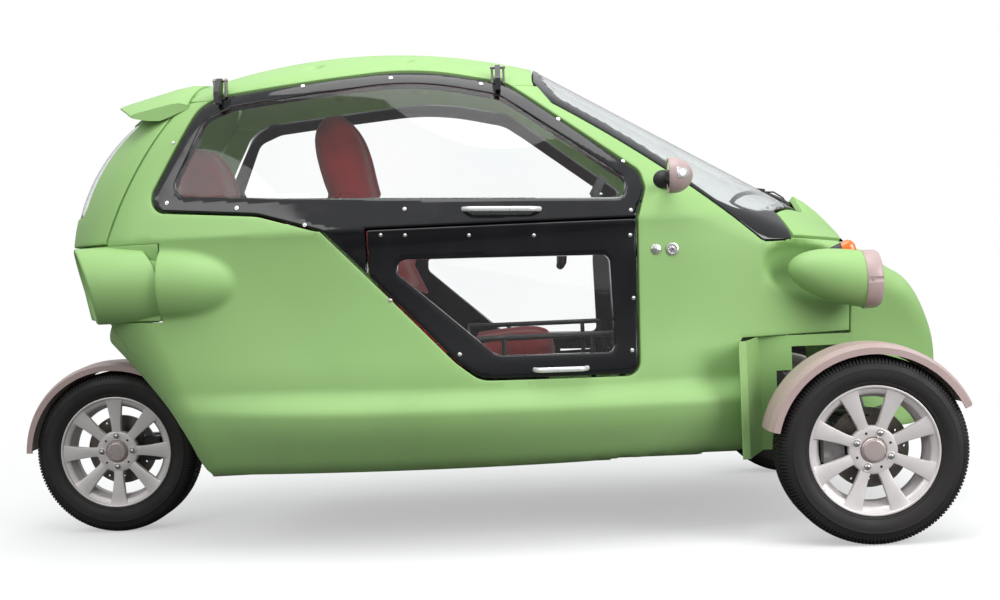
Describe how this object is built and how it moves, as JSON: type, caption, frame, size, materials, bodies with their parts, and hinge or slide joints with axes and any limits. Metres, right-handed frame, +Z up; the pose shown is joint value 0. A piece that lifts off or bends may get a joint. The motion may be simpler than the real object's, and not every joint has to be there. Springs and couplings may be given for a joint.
{
  "type": "three-wheeled microcar",
  "caption": "Closed tandem-seat three-wheeled car with gull-wing doors in two leaves, a rear hatch, steered front wheels and a single rear wheel.",
  "frame": {"origin": "on the floor, in the middle of the length and width of the car", "axes": "+X forward, +Y to the left as the driver sits, +Z up"},
  "size_m": [3.1652, 1.536, 1.6081],
  "materials": {
    "green_plastic": "satin moulded plastic, light green",
    "black_border": "gloss black",
    "clear_screen": "clear acrylic sheet",
    "taupe_plastic": "satin grey brown",
    "dark_plastic": "grained black",
    "soft_black": "soft grip",
    "black_steel": "satin black paint",
    "floor_aluminium": "plain sheet",
    "bright_alloy": "polished",
    "cast_alloy": "cast",
    "silver_alloy": "silver lacquer",
    "disc_iron": "machined",
    "tyre_rubber": "matte",
    "red_fabric": "plain woven cover",
    "clear_lens": "clear lens",
    "red_lens": "red lens",
    "amber_lens": "amber lens"
  },
  "bodies": {
    "root": {"arch_liners": "dark_plastic", "battery_pack": "dark_plastic", "dashboard": "dark_plastic", "drive_motor": "cast_alloy", "floor_tub": "floor_aluminium", "front_seat": "red_fabric", "front_suspension": "black_steel", "headlight_lenses": "clear_lens", "headlight_rings": "taupe_plastic", "indicators": "amber_lens", "mirrors": "taupe_plastic", "nose_panel": "green_plastic", "rear_fender": "taupe_plastic", "rear_seat": "red_fabric", "rear_swing_arm": "black_steel", "roof_hinges": "black_steel", "roof_panel": "green_plastic", "side_rails": "black_steel", "side_shell_left": "green_plastic", "side_shell_right": "green_plastic", "steering_column": "dark_plastic", "tail_fairing": "green_plastic", "tail_lamps": "red_lens", "windscreen": "clear_screen", "windscreen_surround": "black_border", "wiper": "dark_plastic"},
    "upper_door_body_right": {"upper_door_right": "black_border", "upper_door_glass_right": "clear_screen", "upper_door_fittings_right": "bright_alloy"},
    "lower_door_body_right": {"lower_door_right": "black_border", "lower_door_glass_right": "clear_screen", "lower_door_handle_right": "bright_alloy"},
    "knuckle_body_right": {"knuckle_right": "black_steel", "front_fender_right": "taupe_plastic"},
    "upper_door_body_left": {"upper_door_left": "black_border", "upper_door_glass_left": "clear_screen", "upper_door_fittings_left": "bright_alloy"},
    "lower_door_body_left": {"lower_door_left": "black_border", "lower_door_glass_left": "clear_screen", "lower_door_handle_left": "bright_alloy"},
    "knuckle_body_left": {"knuckle_left": "black_steel", "front_fender_left": "taupe_plastic"},
    "wheel_front_right": {"tyre_front_right": "tyre_rubber", "rim_front_right": "silver_alloy", "brake_disc_front_right": "disc_iron"},
    "wheel_front_left": {"tyre_front_left": "tyre_rubber", "rim_front_left": "silver_alloy", "brake_disc_front_left": "disc_iron"},
    "wheel_rear": {"tyre_rear": "tyre_rubber", "rim_rear": "silver_alloy", "brake_disc_rear": "disc_iron"},
    "tailgate": {"tailgate_panel": "green_plastic", "tailgate_window": "clear_screen"},
    "bonnet": {"bonnet_panel": "green_plastic"},
    "steering": {"steering_wheel": "soft_black"}
  },
  "joints": [
    {"name": "upper_door_right_hinge", "type": "hinge", "parent": "root", "child": "upper_door_body_right", "pos_m": [-0.326, -0.4, 1.5], "axis": [-1, 0, 0], "range_deg": [0, 78]},
    {"name": "lower_door_right_hinge", "type": "hinge", "parent": "upper_door_body_right", "child": "lower_door_body_right", "pos_m": [0.04, -0.62, 1], "axis": [-1, 0, 0], "range_deg": [0, 100]},
    {"name": "steer_right", "type": "hinge", "parent": "root", "child": "knuckle_body_right", "pos_m": [1.18, -0.62, 0.28], "axis": [0, 0, 1], "range_deg": [-28, 28]},
    {"name": "wheel_front_right_spin", "type": "hinge", "parent": "knuckle_body_right", "child": "wheel_front_right", "pos_m": [1.18, -0.68, 0.28], "axis": [0, 1, 0], "continuous": true},
    {"name": "upper_door_left_hinge", "type": "hinge", "parent": "root", "child": "upper_door_body_left", "pos_m": [-0.326, 0.4, 1.5], "axis": [1, 0, 0], "range_deg": [0, 78]},
    {"name": "lower_door_left_hinge", "type": "hinge", "parent": "upper_door_body_left", "child": "lower_door_body_left", "pos_m": [0.04, 0.62, 1], "axis": [1, 0, 0], "range_deg": [0, 100]},
    {"name": "steer_left", "type": "hinge", "parent": "root", "child": "knuckle_body_left", "pos_m": [1.18, 0.62, 0.28], "axis": [0, 0, 1], "range_deg": [-28, 28]},
    {"name": "wheel_front_left_spin", "type": "hinge", "parent": "knuckle_body_left", "child": "wheel_front_left", "pos_m": [1.18, 0.68, 0.28], "axis": [0, 1, 0], "continuous": true},
    {"name": "wheel_rear_spin", "type": "hinge", "parent": "root", "child": "wheel_rear", "pos_m": [-1.278, -0.005, 0.28], "axis": [0, 1, 0], "continuous": true},
    {"name": "tailgate_hinge", "type": "hinge", "parent": "root", "child": "tailgate", "pos_m": [-0.85, 0, 1.538], "axis": [0, 1, 0], "range_deg": [0, 70]},
    {"name": "bonnet_hinge", "type": "hinge", "parent": "root", "child": "bonnet", "pos_m": [1.264, 0, 0.905], "axis": [0, 1, 0], "range_deg": [0, 50]},
    {"name": "steering_wheel_turn", "type": "hinge", "parent": "root", "child": "steering", "pos_m": [0.375, 0, 1.005], "axis": [-0.8829, 0, 0.4695], "range_deg": [-420, 420]}
  ],
  "couplings": [
    {"joint": "steer_right", "follows": "steering_wheel_turn", "ratio": 0.0666},
    {"joint": "steer_left", "follows": "steering_wheel_turn", "ratio": 0.0666}
  ]
}
